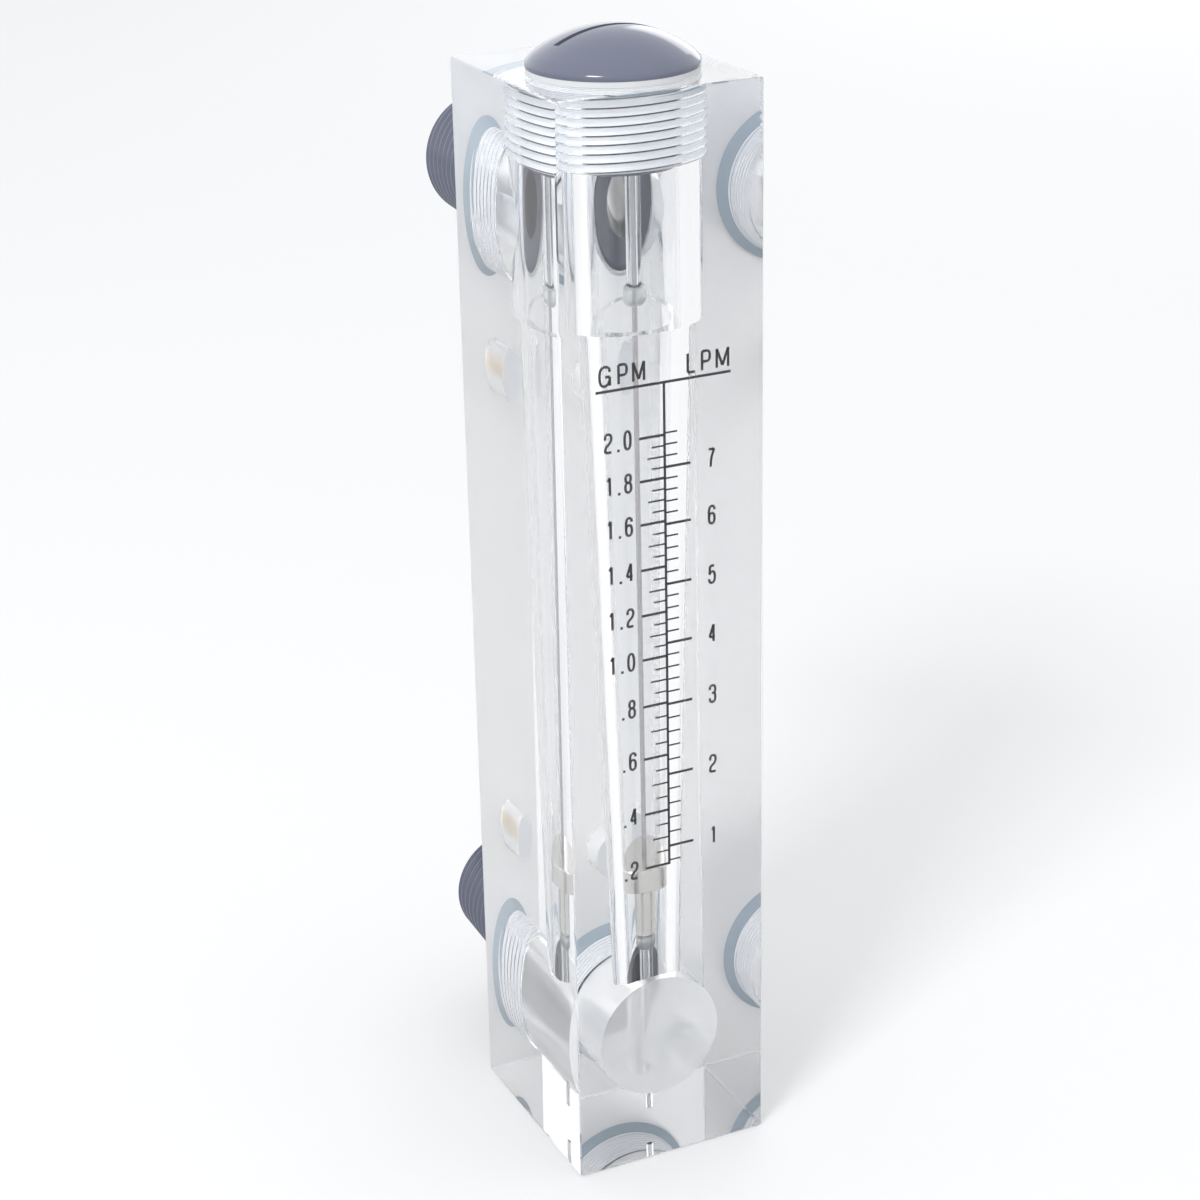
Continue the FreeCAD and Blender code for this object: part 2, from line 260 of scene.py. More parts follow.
# %% [markdown]
# ## Finishes
#
# Each finish is a small node tree. Polished acrylic is a transmitting surface with the index of
# the real plastic. The coarser the tool, the rougher its surface and the less goes through it: a
# reamed bore is nearly clear, a drilled one is hazy, and a tapped or milled one is frosted white.
# A shared node group makes the fine tool marks.

# %% A node group for fine tool marks
BLOTCH_SCALE = 60.0          # blotches in a metre, which change the roughness


def new_group(name, inputs, outputs):
    """Empty shader node group with named inputs and outputs."""
    group = bpy.data.node_groups.new(name, "ShaderNodeTree")
    for label, kind, value in inputs:
        socket = group.interface.new_socket(label, in_out="INPUT", socket_type=kind)
        socket.default_value = value
    for label, kind in outputs:
        group.interface.new_socket(label, in_out="OUTPUT", socket_type=kind)
    return group, group.nodes.new("NodeGroupInput"), group.nodes.new("NodeGroupOutput")


def make_fine_marks():
    """Group of fine scratches and soft blotches on Object coordinates: a height and a mask."""
    group, inside, outside = new_group(
        "fine_marks",
        [("Scale", "NodeSocketFloat", 400.0), ("Stretch", "NodeSocketVector", (1, 1, 1))],
        [("Height", "NodeSocketFloat"), ("Mask", "NodeSocketFloat")])
    nodes, links = group.nodes, group.links
    coords = nodes.new("ShaderNodeTexCoord")
    stretch = nodes.new("ShaderNodeVectorMath")
    stretch.operation = "MULTIPLY"
    links.new(coords.outputs["Object"], stretch.inputs[0])
    links.new(inside.outputs["Stretch"], stretch.inputs[1])
    fine = nodes.new("ShaderNodeTexNoise")
    fine.inputs["Detail"].default_value = 4.0
    links.new(stretch.outputs[0], fine.inputs["Vector"])
    links.new(inside.outputs["Scale"], fine.inputs["Scale"])
    broad = nodes.new("ShaderNodeTexNoise")
    broad.inputs["Scale"].default_value = BLOTCH_SCALE
    broad.inputs["Detail"].default_value = 3.0
    links.new(coords.outputs["Object"], broad.inputs["Vector"])
    links.new(fine.outputs["Fac"], outside.inputs["Height"])
    links.new(broad.outputs["Fac"], outside.inputs["Mask"])
    return group


FINE_MARKS = make_fine_marks()


# %% Helpers that start a material and mark it
MASK_LOW, MASK_HIGH = 0.3, 0.7   # the blotches' values lie mostly between these
MARK_DEPTH = 0.00002         # depth of the tool marks, in metres


def new_material(name, **sockets):
    """Material with one Principled shader, its plain sockets set by name."""
    material = bpy.data.materials.new(name)
    material.use_nodes = True
    shader = material.node_tree.nodes["Principled BSDF"]
    for label, value in sockets.items():
        shader.inputs[label.replace("_", " ")].default_value = value
    return material, material.node_tree, shader


def add_marks(tree, shader, scale, stretch, bump, rough_low, rough_high):
    """Feeds tool marks into a shader's roughness and normal."""
    marks = tree.nodes.new("ShaderNodeGroup")
    marks.node_tree = FINE_MARKS
    marks.inputs["Scale"].default_value = scale
    marks.inputs["Stretch"].default_value = stretch
    spread = tree.nodes.new("ShaderNodeMapRange")
    spread.inputs["From Min"].default_value = MASK_LOW
    spread.inputs["From Max"].default_value = MASK_HIGH
    spread.inputs["To Min"].default_value = rough_low
    spread.inputs["To Max"].default_value = rough_high
    tree.links.new(marks.outputs["Mask"], spread.inputs["Value"])
    tree.links.new(spread.outputs["Result"], shader.inputs["Roughness"])
    lift = tree.nodes.new("ShaderNodeBump")
    lift.inputs["Strength"].default_value = bump
    lift.inputs["Distance"].default_value = MARK_DEPTH
    tree.links.new(marks.outputs["Height"], lift.inputs["Height"])
    tree.links.new(lift.outputs["Normal"], shader.inputs["Normal"])


def marked_material(name, scale, stretch, bump, roughness, **sockets):
    """Material with tool marks and a range of roughness, and its other sockets set by name."""
    material, tree, shader = new_material(name, **sockets)
    add_marks(tree, shader, scale, stretch, bump, *roughness)
    return material


# %% The finishes of the clear block
ACRYLIC_INDEX = 1.49
EVEN = (1, 1, 1)             # marks that run no way in particular
polished_acrylic = marked_material(
    "polished_acrylic", 300, (1, 1, 0.15), 0.02, (0.0, 0.012),
    Base_Color=(0.992, 0.995, 0.998, 1), Transmission_Weight=1.0, IOR=ACRYLIC_INDEX)
bored_acrylic = marked_material(
    "bored_acrylic", 500, (1, 1, 4), 0.06, (0.03, 0.07),
    Base_Color=(0.965, 0.975, 0.985, 1), Transmission_Weight=1.0, IOR=ACRYLIC_INDEX)
drilled_acrylic = marked_material(
    "drilled_acrylic", 700, EVEN, 0.15, (0.14, 0.24),
    Base_Color=(0.96, 0.975, 0.99, 1), Transmission_Weight=0.65, IOR=ACRYLIC_INDEX)
spot_faced_acrylic = marked_material(
    "spot_faced_acrylic", 700, EVEN, 0.1, (0.12, 0.2),
    Base_Color=(0.985, 0.99, 0.995, 1), Transmission_Weight=0.5, IOR=ACRYLIC_INDEX)
# Painted shade: the seat cones are an opaque blue-grey without gloss. It stands for the shade seen
# in them through the clear block.
countersunk_painted_shade = marked_material(
    "countersunk_painted_shade", 600, EVEN, 0.1, (0.15, 0.25),
    Base_Color=(0.42, 0.5, 0.57, 1), IOR=ACRYLIC_INDEX, Specular_IOR_Level=0.0)
tapped_acrylic = marked_material(
    "tapped_acrylic", 700, EVEN, 0.1, (0.6, 0.75),
    Base_Color=(0.87, 0.89, 0.92, 1), IOR=ACRYLIC_INDEX, Specular_IOR_Level=0.0)
TAPPED = (bored_acrylic, tapped_acrylic)

# %% The milled back, with painted shade outside and painted light inside
# Painted shade and light: the back face comes in a darker copy for the side seen from outside and a
# bright white copy for the side seen from within the block.
MILLED_OUTSIDE_SHADE = (0.6, 0.62, 0.645, 1)
MILLED_INSIDE_LIGHT = (0.99, 0.992, 0.998, 1)
milled_acrylic, tree, shader = new_material(
    "milled_acrylic", Transmission_Weight=0.2, IOR=ACRYLIC_INDEX)
add_marks(tree, shader, 450, (0.2, 1, 3), 0.1, 0.5, 0.6)
side_seen = tree.nodes.new("ShaderNodeNewGeometry")
side_shading = tree.nodes.new("ShaderNodeValToRGB")
side_shading.color_ramp.elements[0].color = MILLED_OUTSIDE_SHADE
side_shading.color_ramp.elements[1].color = MILLED_INSIDE_LIGHT
tree.links.new(side_seen.outputs["Backfacing"], side_shading.inputs["Fac"])
tree.links.new(side_shading.outputs["Color"], shader.inputs["Base Color"])
CLEAR = (polished_acrylic, milled_acrylic)

# %% The finishes of the pieces in it
grey_moulding = marked_material(
    "grey_moulding", 900, EVEN, 0.06, (0.1, 0.18), Base_Color=(0.095, 0.105, 0.145, 1), IOR=1.5)
MOULDED = (grey_moulding,)
seal_rubber = marked_material(
    "seal_rubber", 900, EVEN, 0.1, (0.35, 0.5),
    Base_Color=(0.86, 0.88, 0.89, 1), Transmission_Weight=0.4, IOR=1.41)
drawn_steel = marked_material(
    "drawn_steel", 600, (6, 6, 0.2), 0.08, (0.16, 0.28),
    Base_Color=(0.45, 0.44, 0.45, 1), Metallic=1.0)
turned_steel = marked_material(
    "turned_steel", 600, (0.3, 0.3, 8), 0.08, (0.16, 0.3),
    Base_Color=(0.58, 0.565, 0.54, 1), Metallic=1.0)
milky_plastic = marked_material(
    "milky_plastic", 500, EVEN, 0.05, (0.05, 0.12),
    Base_Color=(0.93, 0.945, 0.955, 1), Transmission_Weight=0.95, IOR=1.42)
stop_rubber = marked_material(
    "stop_rubber", 700, EVEN, 0.08, (0.2, 0.35),
    Base_Color=(0.87, 0.9, 0.9, 1), Transmission_Weight=0.8, IOR=1.45)
knurled_brass = marked_material(
    "knurled_brass", 700, EVEN, 0.08, (0.22, 0.4), Base_Color=(0.84, 0.7, 0.48, 1), Metallic=1.0)
black_ink = marked_material(
    "black_ink", 900, EVEN, 0.05, (0.4, 0.55), Base_Color=(0.018, 0.015, 0.02, 1), IOR=1.45)
print("made", len(bpy.data.materials), "materials")

# %% [markdown]
# ## The clear block
#
# The real block is sawn from cast acrylic sheet, milled square and polished, and then bored from
# the top and the back. The blank is a cube with a fine bevel, and its back face is left as
# milled. Its tools are turned solids: one for everything on the tube's axis, one for each port,
# and a screw for each tapped length. Each tool is painted first with the finish that its cut
# leaves, and its seat cones with painted shade.

# %% The polished blank
EDGE_BREAK = 0.2
MILLED_LEAN = 0.3            # a face whose normal leans more than this to the rear is milled


def make_blank():
    """Block with fine bevels on all its edges and a milled back face."""
    bm = bmesh.new()
    bmesh.ops.create_cube(bm, size=1.0)
    size = BLOCK_HIGH - BLOCK_LOW
    bmesh.ops.scale(bm, vec=size, verts=bm.verts)
    bmesh.ops.translate(bm, vec=(BLOCK_HIGH + BLOCK_LOW) / 2, verts=bm.verts)
    bmesh.ops.bevel(bm, geom=bm.edges[:], offset=EDGE_BREAK * MM, affect="EDGES", segments=1,
                    profile=0.5, material=-1)
    for face in bm.faces:
        face.normal_update()
        if face.normal.y > MILLED_LEAN:
            face.material_index = CLEAR.index(milled_acrylic)
    return piece_from("block", bm, *CLEAR)


block = make_blank()

# %% Bore the tube, the plug chamber and the rod seat
TUBE_TOP_R, TUBE_BOTTOM_R = 8.55, 5.55
CHAMBER_R, CHAMBER_FLOOR = 10.3, 132.0
PORT_R = 10.0
PLUG_SEAT_R, PORT_SEAT_R = 12.0, 11.9
ROD_HOLE_R = 0.65
PLUG_THREAD_BOTTOM = 154.9
CAVITY_CROWN = INLET_HEIGHT / MM + PORT_R
BLOCK_HEIGHT = TOP / MM
OVERCUT = 1.0                # a tool starts this far outside the block


def tube_radius(height):
    """Radius of the tapered tube, in millimetres, at a height in millimetres."""
    rise = (height - CAVITY_CROWN) / (CHAMBER_FLOOR - CAVITY_CROWN)
    return TUBE_BOTTOM_R + (TUBE_TOP_R - TUBE_BOTTOM_R) * rise


def paint(tool, material, low, high, axis):
    """Gives a material to the faces with their middle between two places, in mm along an axis."""
    tool.data.materials.append(material)
    for face in tool.data.polygons:
        if low < face.center.dot(axis) / MM < high:
            face.material_index = len(tool.data.materials) - 1


inlet_mm = INLET_HEIGHT / MM
seat_bottom = BLOCK_HEIGHT - (PLUG_SEAT_R - CHAMBER_R)
axial_tool = turned("axial_tool", [
    (0, ROD_LOW.z / MM), (ROD_HOLE_R, ROD_LOW.z / MM), (ROD_HOLE_R, inlet_mm),
    (tube_radius(inlet_mm), inlet_mm), (TUBE_TOP_R, CHAMBER_FLOOR), (CHAMBER_R, CHAMBER_FLOOR),
    (CHAMBER_R, PLUG_THREAD_BOTTOM), (CHAMBER_R, seat_bottom), (PLUG_SEAT_R, BLOCK_HEIGHT),
    (PLUG_SEAT_R, BLOCK_HEIGHT + OVERCUT), (0, BLOCK_HEIGHT + OVERCUT)],
    TUBE_AXIS, UP, bored_acrylic)
paint(axial_tool, tapped_acrylic, PLUG_THREAD_BOTTOM, seat_bottom, UP)
# the plug's seat cone takes painted shade
paint(axial_tool, countersunk_painted_shade, seat_bottom, BLOCK_HEIGHT, UP)
combine(block, axial_tool, "DIFFERENCE")

# %% Tap the plug's thread
PLUG_MAJOR_R = 11.0
FINE_PITCH = 1.25
TAP_INSET = 0.02             # a tap's roots lie this far inside the bore, so that the two overlap
PLUG_THREAD_TOP = BLOCK_HEIGHT - (PLUG_SEAT_R - PLUG_MAJOR_R)
combine(block, threaded(
    "plug_tap", CHAMBER_R - TAP_INSET, PLUG_MAJOR_R, FINE_PITCH, PLUG_THREAD_BOTTOM,
    PLUG_THREAD_TOP, TUBE_AXIS, UP, TAPPED), "DIFFERENCE")

# %% Bore and tap the two ports
CAVITY_FRONT_WALL = 7.0
PORT_MAJOR_R = 10.65
SEAT_DEPTH = PORT_SEAT_R - PORT_R
PORT_TAP_LENGTH = 10.2
PORT_TAP_STOP = 0.07         # the tap stops this short of the seat's cone
FACE_BAND = 0.01             # what lies this near a surface is on it


def cut_port(height, depth):
    """Bore to a depth from the back face, with its flat end, its seal seat and its tapped mouth."""
    place = Vector((0, BACK, height))
    tool = turned("port_tool", [
        (0, -depth), (PORT_R, -depth), (PORT_R, -PORT_TAP_LENGTH), (PORT_R, -SEAT_DEPTH),
        (PORT_SEAT_R, 0), (PORT_SEAT_R, OVERCUT), (0, OVERCUT)], place, REARWARD, drilled_acrylic)
    back = BACK / MM
    paint(tool, spot_faced_acrylic, back - depth - OVERCUT, back - depth + FACE_BAND, REARWARD)
    paint(tool, tapped_acrylic, back - PORT_TAP_LENGTH, back - SEAT_DEPTH, REARWARD)
    # the seal's seat cone takes painted shade
    paint(tool, countersunk_painted_shade, back - SEAT_DEPTH, back, REARWARD)
    combine(block, tool, "DIFFERENCE")
    tap = threaded("port_tap", PORT_R - TAP_INSET, PORT_MAJOR_R, FINE_PITCH, -PORT_TAP_LENGTH,
                   PORT_MAJOR_R - PORT_SEAT_R - PORT_TAP_STOP, place, REARWARD, TAPPED)
    combine(block, tap, "DIFFERENCE")


cut_port(INLET_HEIGHT, (BACK - FRONT) / MM - CAVITY_FRONT_WALL)
cut_port(OUTLET_HEIGHT, (BACK - TUBE_AXIS.y) / MM)

# %% Drill for the two panel inserts
INSERT_R = 4.1
INSERT_PLAY = 0.02
INSERT_HOLE_DEPTH = 6.5
for node in ("lower_insert", "upper_insert"):
    place = Vector((0, BACK, middle_height(node)))
    hole = turned("insert_hole", [
        (0, -INSERT_HOLE_DEPTH), (INSERT_R + INSERT_PLAY, -INSERT_HOLE_DEPTH),
        (INSERT_R + INSERT_PLAY, OVERCUT), (0, OVERCUT)], place, REARWARD, drilled_acrylic)
    end = BACK / MM - INSERT_HOLE_DEPTH
    paint(hole, tapped_acrylic, end - OVERCUT, end + FACE_BAND, REARWARD)
    combine(block, hole, "DIFFERENCE")
finish_piece(finish_shading(block, CLEAR), "meter", "clear_block", "body_block")

# %% [markdown]
# ## The top plug
#
# The plug is an injection moulding with a glossy dome, a driver slot and a threaded shank. The
# dome is the arc of a circle, so the profile takes its points from that circle, and the slot is a
# thin box cut across it.

# %% Turn the plug, add its thread and cut its slot
PLUG_HEAD_R = 12.2
PLUG_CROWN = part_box("top_plug")[1].z / MM
PLUG_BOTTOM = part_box("top_plug")[0].z / MM
RIM_TOP = BLOCK_HEIGHT + 1.8
RIM_ROUND = 0.5
RIM_POINTS = ((0, -0.45), (-0.06, -0.2), (-0.25, 0.02))   # round, from the top corner of the rim
GASKET = 0.85                # height of the plug's gasket above the block's top
PLUG_NECK_R = 9.7
NECK_RUN = 0.3               # a neck starts this far inside its seat
SHANK_CHAMFER = 0.7
THREAD_PLAY = 0.1
THREAD_ROOT = 0.3            # a screw's roots lie this far inside its shank
THREAD_PHASE = 0.08          # lift that centres a screw's ridge in its tapped groove
RUN_OUT = 0.05               # a screw stops this short of its neck
SLEEVE_R, SLEEVE_PLAY = 1.75, 0.05
SLEEVE_SOCKET, ROD_SOCKET = 4.0, 7.0   # depths from the plug's bottom
SLOT_WIDTH, SLOT_DEPTH = 1.2, 2.15
DOME_STEPS = 24


def dome_points():
    """Profile points of the rim's round and the dome above it, from the rim to the crown."""
    rise = PLUG_CROWN - RIM_TOP
    radius = (PLUG_HEAD_R ** 2 + rise ** 2) / (2 * rise)
    centre = PLUG_CROWN - radius
    points = [(PLUG_HEAD_R + out, RIM_TOP + up) for out, up in RIM_POINTS]
    for step in range(1, DOME_STEPS + 1):
        across = (PLUG_HEAD_R - RIM_ROUND) * (1 - step / DOME_STEPS)
        points.append((across, centre + math.sqrt(radius ** 2 - across ** 2)))
    return points


shank_r = CHAMBER_R - THREAD_PLAY
socket_r = SLEEVE_R + SLEEVE_PLAY
neck_bottom = seat_bottom - NECK_RUN
plug = turned("plug", [
    (0, PLUG_BOTTOM + ROD_SOCKET), (ROD_HOLE_R, PLUG_BOTTOM + ROD_SOCKET),
    (ROD_HOLE_R, PLUG_BOTTOM + SLEEVE_SOCKET), (socket_r, PLUG_BOTTOM + SLEEVE_SOCKET),
    (socket_r, PLUG_BOTTOM), (shank_r - SHANK_CHAMFER, PLUG_BOTTOM),
    (shank_r, PLUG_BOTTOM + SHANK_CHAMFER), (shank_r, neck_bottom), (PLUG_NECK_R, neck_bottom),
    (PLUG_NECK_R, BLOCK_HEIGHT + GASKET), (PLUG_HEAD_R, BLOCK_HEIGHT + GASKET)]
    + dome_points(), TUBE_AXIS, UP, grey_moulding)
combine(plug, threaded(
    "plug_screw", shank_r - THREAD_ROOT, PLUG_MAJOR_R - THREAD_PLAY, FINE_PITCH,
    PLUG_THREAD_BOTTOM + THREAD_PHASE, neck_bottom - RUN_OUT, TUBE_AXIS, UP, MOULDED), "UNION")


def make_slot_tool():
    """Thin box across the dome. It is centred on the crown, so half of its height cuts."""
    bm = bmesh.new()
    bmesh.ops.create_cube(bm, size=1.0)
    bmesh.ops.scale(bm, verts=bm.verts,
                    vec=(2.5 * PLUG_HEAD_R * MM, SLOT_WIDTH * MM, 2 * SLOT_DEPTH * MM))
    bmesh.ops.translate(bm, vec=Vector((0, TUBE_AXIS.y, PLUG_CROWN * MM)), verts=bm.verts)
    return piece_from("slot_tool", bm, grey_moulding)


combine(plug, make_slot_tool(), "DIFFERENCE")
finish_piece(finish_shading(plug), "meter", "grey_moulding", "top_plug")

# %% [markdown]
# ## The two connectors
#
# Each connector is one moulding: a fine straight thread goes into the block, a flange and a
# hexagon seat it, and a taper pipe thread, coarser and slightly conical, takes the plumbing. The
# first is built once and copied up to the other port.

# %% Build one connector and copy it
PIPE_END = (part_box("inlet_fitting")[1].y - BACK) / MM
SHANK_END = (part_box("inlet_fitting")[0].y - BACK) / MM
FLANGE_R, FLANGE_THICKNESS, FLANGE_EDGE = 12.2, 1.5, 0.45
HEX_FLATS, HEX_THICKNESS = 21.0, 3.5
HEX_SUNK = 0.4               # the hexagon reaches this far into the flange
HEX_EDGE = ((1, -1), (0, -0.6), (-1.2, 0))   # cone that turns its corner down, from the corner
RELIEF_R, RELIEF_LENGTH = 9.5, 1.3
FITTING_BORE_R, FITTING_NECK_R = 5.0, 9.4
PIPE_END_R, PIPE_TAPER, PIPE_PITCH, PIPE_LEAD = 9.8, 1 / 32, 1.814, 0.8
PIPE_ROOT, PIPE_CREST = 1.1, 0.35    # depth of the taper thread, and its crest's share
PIPE_CORE_R, PIPE_CORE_SHORT = 8.0, 0.3   # plain core of the taper thread, short of its end
PIPE_SUNK = 0.2              # the taper thread starts this far inside the relief
LIMIT_RUN, LIMIT_CLEAR = 2, 0.3      # cone of the tool that trims it, clear of its crests
SCREW_LEAD = 0.5             # the port's screw starts at least this far up its shank


def make_hexagon(place):
    """Wrench hexagon as a six-sided prism, its outer corners turned down a little."""
    corner_r = HEX_FLATS / math.sqrt(3)
    bm = bmesh.new()
    bmesh.ops.create_cone(bm, cap_ends=True, segments=6, radius1=corner_r * MM,
                          radius2=corner_r * MM, depth=(HEX_THICKNESS + HEX_SUNK) * MM)
    bmesh.ops.rotate(bm, verts=bm.verts, cent=(0, 0, 0),
                     matrix=Matrix.Rotation(math.radians(30), 3, "Z"))
    bmesh.ops.translate(bm, verts=bm.verts,
                        vec=(0, 0, (FLANGE_THICKNESS + (HEX_THICKNESS - HEX_SUNK) / 2) * MM))
    bmesh.ops.transform(bm, matrix=aim(place, REARWARD), verts=bm.verts)
    hexagon = piece_from("hexagon", bm, grey_moulding)
    end = FLANGE_THICKNESS + HEX_THICKNESS
    limit = turned("hex_limit", [(0, -OVERCUT), (corner_r + OVERCUT, -OVERCUT)]
                   + [(corner_r + out, end + up) for out, up in HEX_EDGE] + [(0, end)],
                   place, REARWARD, grey_moulding)
    return combine(hexagon, limit, "INTERSECT")


def make_pipe_thread(place, start):
    """Taper thread from a start to the connector's end, cut to a cone at its lead."""
    pipe = threaded("pipe_screw", PIPE_END_R - PIPE_ROOT, PIPE_END_R, PIPE_PITCH,
                    start - PIPE_SUNK, PIPE_END, place, REARWARD, MOULDED, PIPE_TAPER, PIPE_CREST)
    lead_start = PIPE_END - PIPE_LEAD
    limit = turned("pipe_limit", [
        (0, start - RELIEF_LENGTH), (FLANGE_R, start - RELIEF_LENGTH),
        (FLANGE_R, lead_start - LIMIT_RUN), (PIPE_END_R + LIMIT_CLEAR, lead_start),
        (PIPE_END_R - PIPE_LEAD, PIPE_END), (0, PIPE_END)], place, REARWARD, grey_moulding)
    return combine(pipe, limit, "INTERSECT")


def make_port_screw(place, shank, neck):
    """Fine screw on the shank, in step with the thread tapped in its port."""
    turns_in = math.ceil((SHANK_END + SCREW_LEAD + PORT_TAP_LENGTH - THREAD_PHASE) / FINE_PITCH)
    screw_start = turns_in * FINE_PITCH + THREAD_PHASE - PORT_TAP_LENGTH
    return threaded("port_screw", shank - THREAD_ROOT, PORT_MAJOR_R - THREAD_PLAY, FINE_PITCH,
                    screw_start, neck - RUN_OUT, place, REARWARD, MOULDED)


def make_connector(name, height):
    """Connector that points rearward from the port at a height."""
    place = Vector((0, BACK, height))
    relief_end = FLANGE_THICKNESS + HEX_THICKNESS + RELIEF_LENGTH
    core_end = PIPE_END - PIPE_CORE_SHORT
    shank = PORT_R - THREAD_PLAY
    neck = -SEAT_DEPTH - NECK_RUN
    body = turned(name, [
        (0, SHANK_END), (shank - SHANK_CHAMFER, SHANK_END), (shank, SHANK_END + SHANK_CHAMFER),
        (shank, neck), (FITTING_NECK_R, neck), (FITTING_NECK_R, 0), (FLANGE_R - FLANGE_EDGE, 0),
        (FLANGE_R, FLANGE_EDGE), (FLANGE_R, FLANGE_THICKNESS), (RELIEF_R, FLANGE_THICKNESS),
        (RELIEF_R, relief_end), (PIPE_CORE_R, relief_end), (PIPE_CORE_R, core_end), (0, core_end)],
        place, REARWARD, grey_moulding)
    combine(body, make_hexagon(place), "UNION")
    combine(body, make_pipe_thread(place, relief_end), "UNION")
    combine(body, make_port_screw(place, shank, neck), "UNION")
    bore = turned("bore", [
        (0, SHANK_END - OVERCUT), (FITTING_BORE_R, SHANK_END - OVERCUT),
        (FITTING_BORE_R, PIPE_END + OVERCUT), (0, PIPE_END + OVERCUT)],
        place, REARWARD, grey_moulding)
    combine(body, bore, "DIFFERENCE")
    return finish_shading(body)


inlet_connector = make_connector("inlet_connector", INLET_HEIGHT)
finish_piece(inlet_connector, "meter", "grey_moulding", "inlet_fitting")
outlet_connector = bpy.data.objects.new("outlet_connector", inlet_connector.data.copy())
bpy.context.scene.collection.objects.link(outlet_connector)
outlet_connector.data.transform(Matrix.Translation((0, 0, OUTLET_HEIGHT - INLET_HEIGHT)))
finish_piece(outlet_connector, "meter", "grey_moulding", "outlet_fitting")

# %% [markdown]
# ## Rod, sleeves, stops and float
#
# What hangs on the tube's axis is small and round. Each piece is turned with more steps than its
# size asks for, because the bore in front of it works as a lens and shows every flat twice over.

# %% Turn the pieces on the rod
ROD_R = 0.6
ROD_EDGE = 0.1               # chamfer on the rod and the sleeves
STOP_R, STOP_ROUND, STOP_PLAY = 2.6, 0.7, 0.02


def heights(node):
    """Lowest and highest height of a node, in millimetres."""
    low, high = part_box(node)
    return low.z / MM, high.z / MM


def turned_node(name, node, profile, material, slot, body="meter", steps=96):
    """Piece turned on the tube's axis that stands for one node."""
    piece = turned(name, profile, TUBE_AXIS, UP, material, steps)
    print(f"{name}: {len(piece.data.polygons)} faces")
    return finish_piece(piece, body, slot, node)


low, high = heights("guide_rod")
turned_node("rod", "guide_rod", [
    (0, low), (ROD_R - ROD_EDGE, low), (ROD_R, low + ROD_EDGE), (ROD_R, high - ROD_EDGE),
    (ROD_R - ROD_EDGE, high), (0, high)], drawn_steel, "rod_steel")
for name, node in (("lower_spacer", "lower_sleeve"), ("upper_spacer", "upper_sleeve")):
    low, high = heights(node)
    turned_node(name, node, [
        (ROD_R + SLEEVE_PLAY, low), (SLEEVE_R - ROD_EDGE, low), (SLEEVE_R, low + ROD_EDGE),
        (SLEEVE_R, high - ROD_EDGE), (SLEEVE_R - ROD_EDGE, high), (ROD_R + SLEEVE_PLAY, high)],
        milky_plastic, "spacer_tube")
for name, node in (("lower_stop", "lower_stop_ring"), ("upper_stop", "upper_stop_ring")):
    low, high = heights(node)
    arc = [(math.cos(math.radians(a)), math.sin(math.radians(a))) for a in range(-90, 91, 15)]
    lower_arc = [(STOP_R - STOP_ROUND * (1 - c), low + STOP_ROUND * (1 + s))
                 for c, s in arc if s <= 0]
    upper_arc = [(STOP_R - STOP_ROUND * (1 - c), high - STOP_ROUND * (1 - s))
                 for c, s in arc if s >= 0]
    inner_r = ROD_R + STOP_PLAY
    turned_node(name, node, [(inner_r, low)] + lower_arc + upper_arc + [(inner_r, high)],
                stop_rubber, "stop_rubber")

# %% Turn the float
low, high = heights("float")
HEAD_HEIGHT, TAIL_R, FLOAT_EDGE = 3.7, 2.65, 0.15
FLOAT_PLAY, FLOAT_STEPS = 0.1, 192
head_bottom = high - HEAD_HEIGHT
head_r = (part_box("float")[1].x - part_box("float")[0].x) / 2 / MM
turned_node("flow_float", "float", [
    (ROD_R + FLOAT_PLAY, low), (TAIL_R - FLOAT_EDGE, low), (TAIL_R, low + FLOAT_EDGE),
    (TAIL_R, head_bottom), (head_r - FLOAT_EDGE, head_bottom), (head_r, head_bottom + FLOAT_EDGE),
    (head_r, high - FLOAT_EDGE), (head_r - FLOAT_EDGE, high), (ROD_R + FLOAT_PLAY, high)],
    turned_steel, "float_steel", "float", FLOAT_STEPS)

# %% [markdown]
# ## Seals and panel inserts
#
# The ports' seals are rubber rings squeezed into the 45 degree seats. The plug's fills its seat
# in the same way and carries on as a flat gasket under the head. The inserts are brass with a
# straight knurl: the turned blank has many steps, and every other step of the knurled bands is
# drawn inwards.

# %% Turn the three seals
SEAL_PLAY = 0.03             # clearance from what a seal touches
SEAL_STEPS = 120
GASKET_DROP = 1.6            # how far the plug's gasket reaches down its seat
GASKET_GAP, GASKET_INSET = 0.1, 0.05   # from the seat's cone, and from the head's rim


def make_seal(name, node, seat_r, neck_r, place, axis):
    """O-ring that touches the neck, the head and the seat."""
    reach = (seat_r - neck_r) / (2 + math.sqrt(2))
    ring = reach - SEAL_PLAY
    angles = [math.radians(a) for a in range(0, 360, 20)]
    profile = [(neck_r + reach + ring * math.cos(a), ring * math.sin(a) - reach) for a in angles]
    piece = turned(name, profile, place, axis, seal_rubber, SEAL_STEPS)
    return finish_piece(piece, "meter", "seal_rubber", node)


